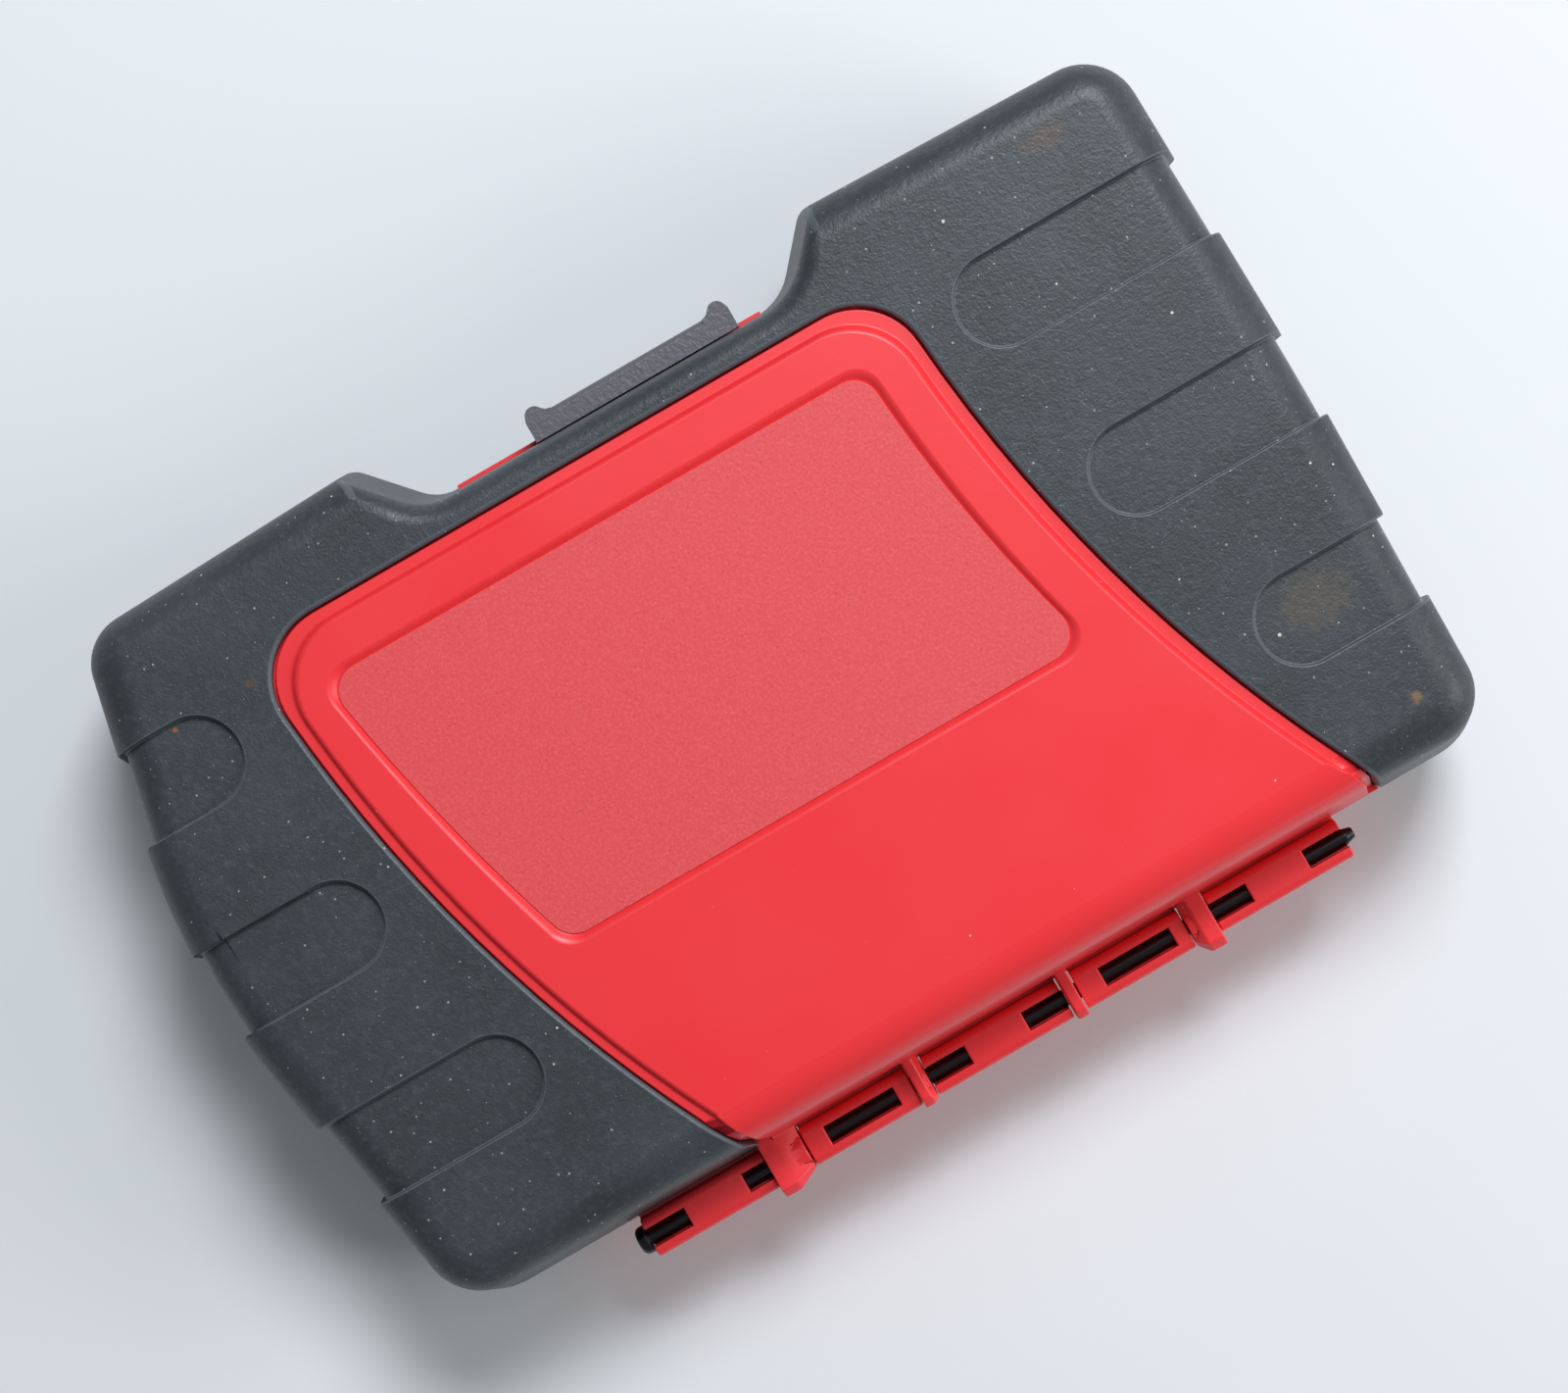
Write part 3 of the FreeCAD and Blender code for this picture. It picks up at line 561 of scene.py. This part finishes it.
def twist_bit(name):
    """A two-fluted drill bit whose plain shank stands in its rack."""
    low, high = reach(name)
    radius = (high.x - low.x) / 2
    length = high.y - low.y
    cone = radius / math.tan(math.radians(POINT_ANGLE / 2))
    shank = max(length * SHANK_SHARE, SHORTEST_SHANK)
    fluted = length - shank - cone
    lead = 2 * radius * LEAD_DIAMETERS
    steps = max(int(fluted / lead * LEAD_STEPS), FEWEST_STEPS)
    form = bmesh.new()
    fluted_ring(form, radius)
    sweep = bmesh.ops.spin(form, geom=form.verts[:] + form.edges[:], cent=(0, 0, 0),
                           axis=(0, 0, 1), dvec=(0, 0, fluted / steps),
                           angle=2 * math.pi * fluted / lead, steps=steps, use_merge=False,
                           use_normal_flip=False, use_duplicate=False)
    tip = only_vertices(sweep["geom_last"])
    runout = min(RUNOUT_RADII * radius, fluted * RUNOUT_SHARE)
    for vertex in form.verts:
        flat = vertex.co.xy
        if vertex.co.z < runout:
            ease = (1 - vertex.co.z / runout) ** RUNOUT_EASE
            vertex.co.xy = flat.normalized() * (flat.length + (radius - flat.length) * ease)
    for vertex in tip:
        vertex.co.z += (radius - vertex.co.xy.length) / radius * cone
    lip = [edge for edge in form.edges if all(v in tip for v in edge.verts)]
    point = only_vertices(bmesh.ops.extrude_edge_only(form, edges=lip)["geom"])
    bmesh.ops.pointmerge(form, verts=point, merge_co=(0, 0, fluted + cone))
    bottom = [edge for edge in form.edges if edge.is_boundary]
    for vertex in only_vertices(bmesh.ops.extrude_edge_only(form, edges=bottom)["geom"]):
        vertex.co.z = -shank
    bmesh.ops.holes_fill(form, edges=[edge for edge in form.edges if edge.is_boundary])
    middle = Vector(((low.x + high.x) / 2, high.y - shank, (low.z + high.z) / 2))
    bmesh.ops.transform(form, verts=form.verts,
                        matrix=Matrix.Scale(MM, 4) @ Matrix.Translation(middle)
                        @ Matrix.Rotation(math.pi / 2, 4, "X"))
    bmesh.ops.recalc_face_normals(form, faces=form.faces)
    mesh = mesh_of(form, name + "_fluted")
    mesh.shade_smooth()
    mesh.set_sharp_from_angle(angle=BIT_SMOOTH_ANGLE)
    settle(mesh, BODIES[name], [FINISH["bit_steel"]], [name])


def size_marks(rack, bits):
    """Raised figures under each bit, which face forward when the rack stands up."""
    low, high = reach("rack_bar_" + rack)
    form = bmesh.new()
    for name in bits:
        bit_low, bit_high = reach(name)
        top, bottom = name.split("_")[-2:]
        words = bpy.data.curves.new(name + "_mark", "FONT")
        words.body = top + "/" + bottom
        words.size = FIGURE_HEIGHT * MM
        words.extrude = FIGURE_RISE * MM
        words.align_x = "CENTER"
        words.align_y = "CENTER"
        words.resolution_u = FIGURE_CURVES
        holder = add_object(name + "_mark", words)
        bpy.context.view_layer.update()
        drawn = drawn_mesh(holder)
        spot = Vector(((bit_low.x + bit_high.x) / 2, low.y + FIGURE_TO_EDGE, low.z)) * MM
        drawn.transform(Matrix.Translation(spot) @ Matrix.Rotation(math.pi, 4, "X"))
        form.from_mesh(drawn)
        bpy.data.objects.remove(holder)
        bpy.data.meshes.remove(drawn)
    settle(mesh_of(form, "size_marks_" + rack), "rack_" + rack, [PRINT])


def cut_cross(screw):
    """Digs a cross recess into the flat top of a screw's head."""
    for normal in ((1, 0, 0), (0, 1, 0)):
        for shift in (-CROSS_REACH, -CROSS_HALF, CROSS_HALF, CROSS_REACH):
            cap = [f for f in screw.faces if f.calc_center_median().z > HEAD_HEIGHT / 2 - ON_FACE]
            ring = {edge for face in cap for edge in face.edges}
            bmesh.ops.bisect_plane(screw, geom=cap + list(ring), dist=CUT_DISTANCE,
                                   plane_co=Vector(normal) * shift, plane_no=normal)
    cross = []
    for face in screw.faces:
        c = face.calc_center_median()
        inner = min(abs(c.x), abs(c.y)) < CROSS_HALF and max(abs(c.x), abs(c.y)) < CROSS_REACH
        if c.z > HEAD_HEIGHT / 2 - ON_FACE and inner:
            cross.append(face)
    dug = bmesh.ops.extrude_face_region(screw, geom=cross)["geom"]
    bmesh.ops.delete(screw, geom=cross, context="FACES")
    bmesh.ops.translate(screw, verts=only_vertices(dug), vec=(0, 0, -CROSS_DEPTH))


def pan_head_screw(x, y, top, length):
    """One screw of the brackets, with its head's top at a place in mm."""
    screw = bmesh.new()
    bmesh.ops.create_cone(screw, cap_ends=True, cap_tris=False, segments=HEAD_SEGMENTS,
                          radius1=HEAD_RADIUS, radius2=HEAD_RADIUS, depth=HEAD_HEIGHT)
    rim = [edge for edge in screw.edges if all(v.co.z > 0 for v in edge.verts)]
    bmesh.ops.bevel(screw, geom=rim, offset=HEAD_ROUND, segments=HEAD_ROUND_STEPS,
                    affect="EDGES", profile=0.5, material=-1)
    cut_cross(screw)
    stem = bmesh.ops.create_cone(screw, cap_ends=True, segments=STEM_SEGMENTS,
                                 radius1=STEM_RADIUS, radius2=STEM_RADIUS,
                                 depth=length - HEAD_HEIGHT)["verts"]
    bmesh.ops.translate(screw, verts=stem, vec=(0, 0, -length / 2))
    bmesh.ops.transform(screw, verts=screw.verts, matrix=Matrix.Scale(MM, 4)
                        @ Matrix.Translation((x, y, top - HEAD_HEIGHT / 2)))
    return mesh_of(screw, "screw")


def bracket_screw_heads():
    """Pan heads with a cross recess, in place of the plain screws."""
    low, high = reach("bracket_screws")
    form = bmesh.new()
    for x in (low.x + HEAD_RADIUS, high.x - HEAD_RADIUS):
        for y in (low.y + HEAD_RADIUS, high.y - HEAD_RADIUS):
            drawn = pan_head_screw(x, y, high.z, high.z - low.z)
            form.from_mesh(drawn)
            bpy.data.meshes.remove(drawn)
    mesh = mesh_of(form, "bracket_screws_drawn")
    mesh.shade_smooth()
    mesh.set_sharp_from_angle(angle=SMOOTH_ANGLE)
    settle(mesh, "base", [FINISH["steel"]], ["bracket_screws"])


def case():
    """Every piece of the case, in place of its CAD node."""
    for name in frame["nodes"]:
        if name.startswith("drill_bit_"):
            twist_bit(name)
        elif name == "bracket_screws":
            bracket_screw_heads()
        else:
            dress(name)
    for rack in RACKS:
        size_marks(rack, [name for name, body in BODIES.items()
                          if name.startswith("drill_bit_") and body == "rack_" + rack])


def pale_floor():
    form = bmesh.new()
    bmesh.ops.create_grid(form, x_segments=1, y_segments=1, size=FLOOR_HALF)
    mesh = mesh_of(form, "floor")
    mesh.materials.append(pale_floor_paper())
    floor = add_object("floor", mesh)
    floor.location.z = -FLOOR_DROP * MM


def studio_light():
    for name, place, side, watts, colour in LAMPS:
        lamp = bpy.data.lights.new(name, "AREA")
        lamp.energy = watts
        lamp.size = side
        lamp.color = linear(colour)[:3]
        holder = add_object(name, lamp)
        aim = -Vector(place)
        holder.matrix_world = (Matrix.Translation(place)
                               @ aim.to_track_quat("-Z", "Y").to_matrix().to_4x4())
    world = bpy.data.worlds.new("studio")
    world.use_nodes = True
    sky = world.node_tree.nodes["Background"]
    sky.inputs["Color"].default_value = linear(SKY_COLOUR)
    sky.inputs["Strength"].default_value = SKY_STRENGTH
    bpy.context.scene.world = world


def camera():
    lens = bpy.data.cameras.new("camera")
    lens.sensor_width = SENSOR
    lens.lens = SENSOR * FOCAL_PIXELS / PICTURE_WIDTH
    lens.shift_x = SHIFT_PIXELS[0] / PICTURE_WIDTH
    lens.shift_y = SHIFT_PIXELS[1] / PICTURE_WIDTH
    lens.clip_start = CAMERA_NEAR * MM
    holder = add_object("camera", lens)
    holder.matrix_world = (Matrix.Translation(Vector((*CAMERA_FOOT, CAMERA_HEIGHT)) * MM)
                           @ Matrix.Rotation(math.radians(CAMERA_TURN), 4, "Z"))
    bpy.context.scene.camera = holder


case()
pale_floor()
studio_light()
camera()
bpy.context.scene.view_settings.view_transform = "Standard"
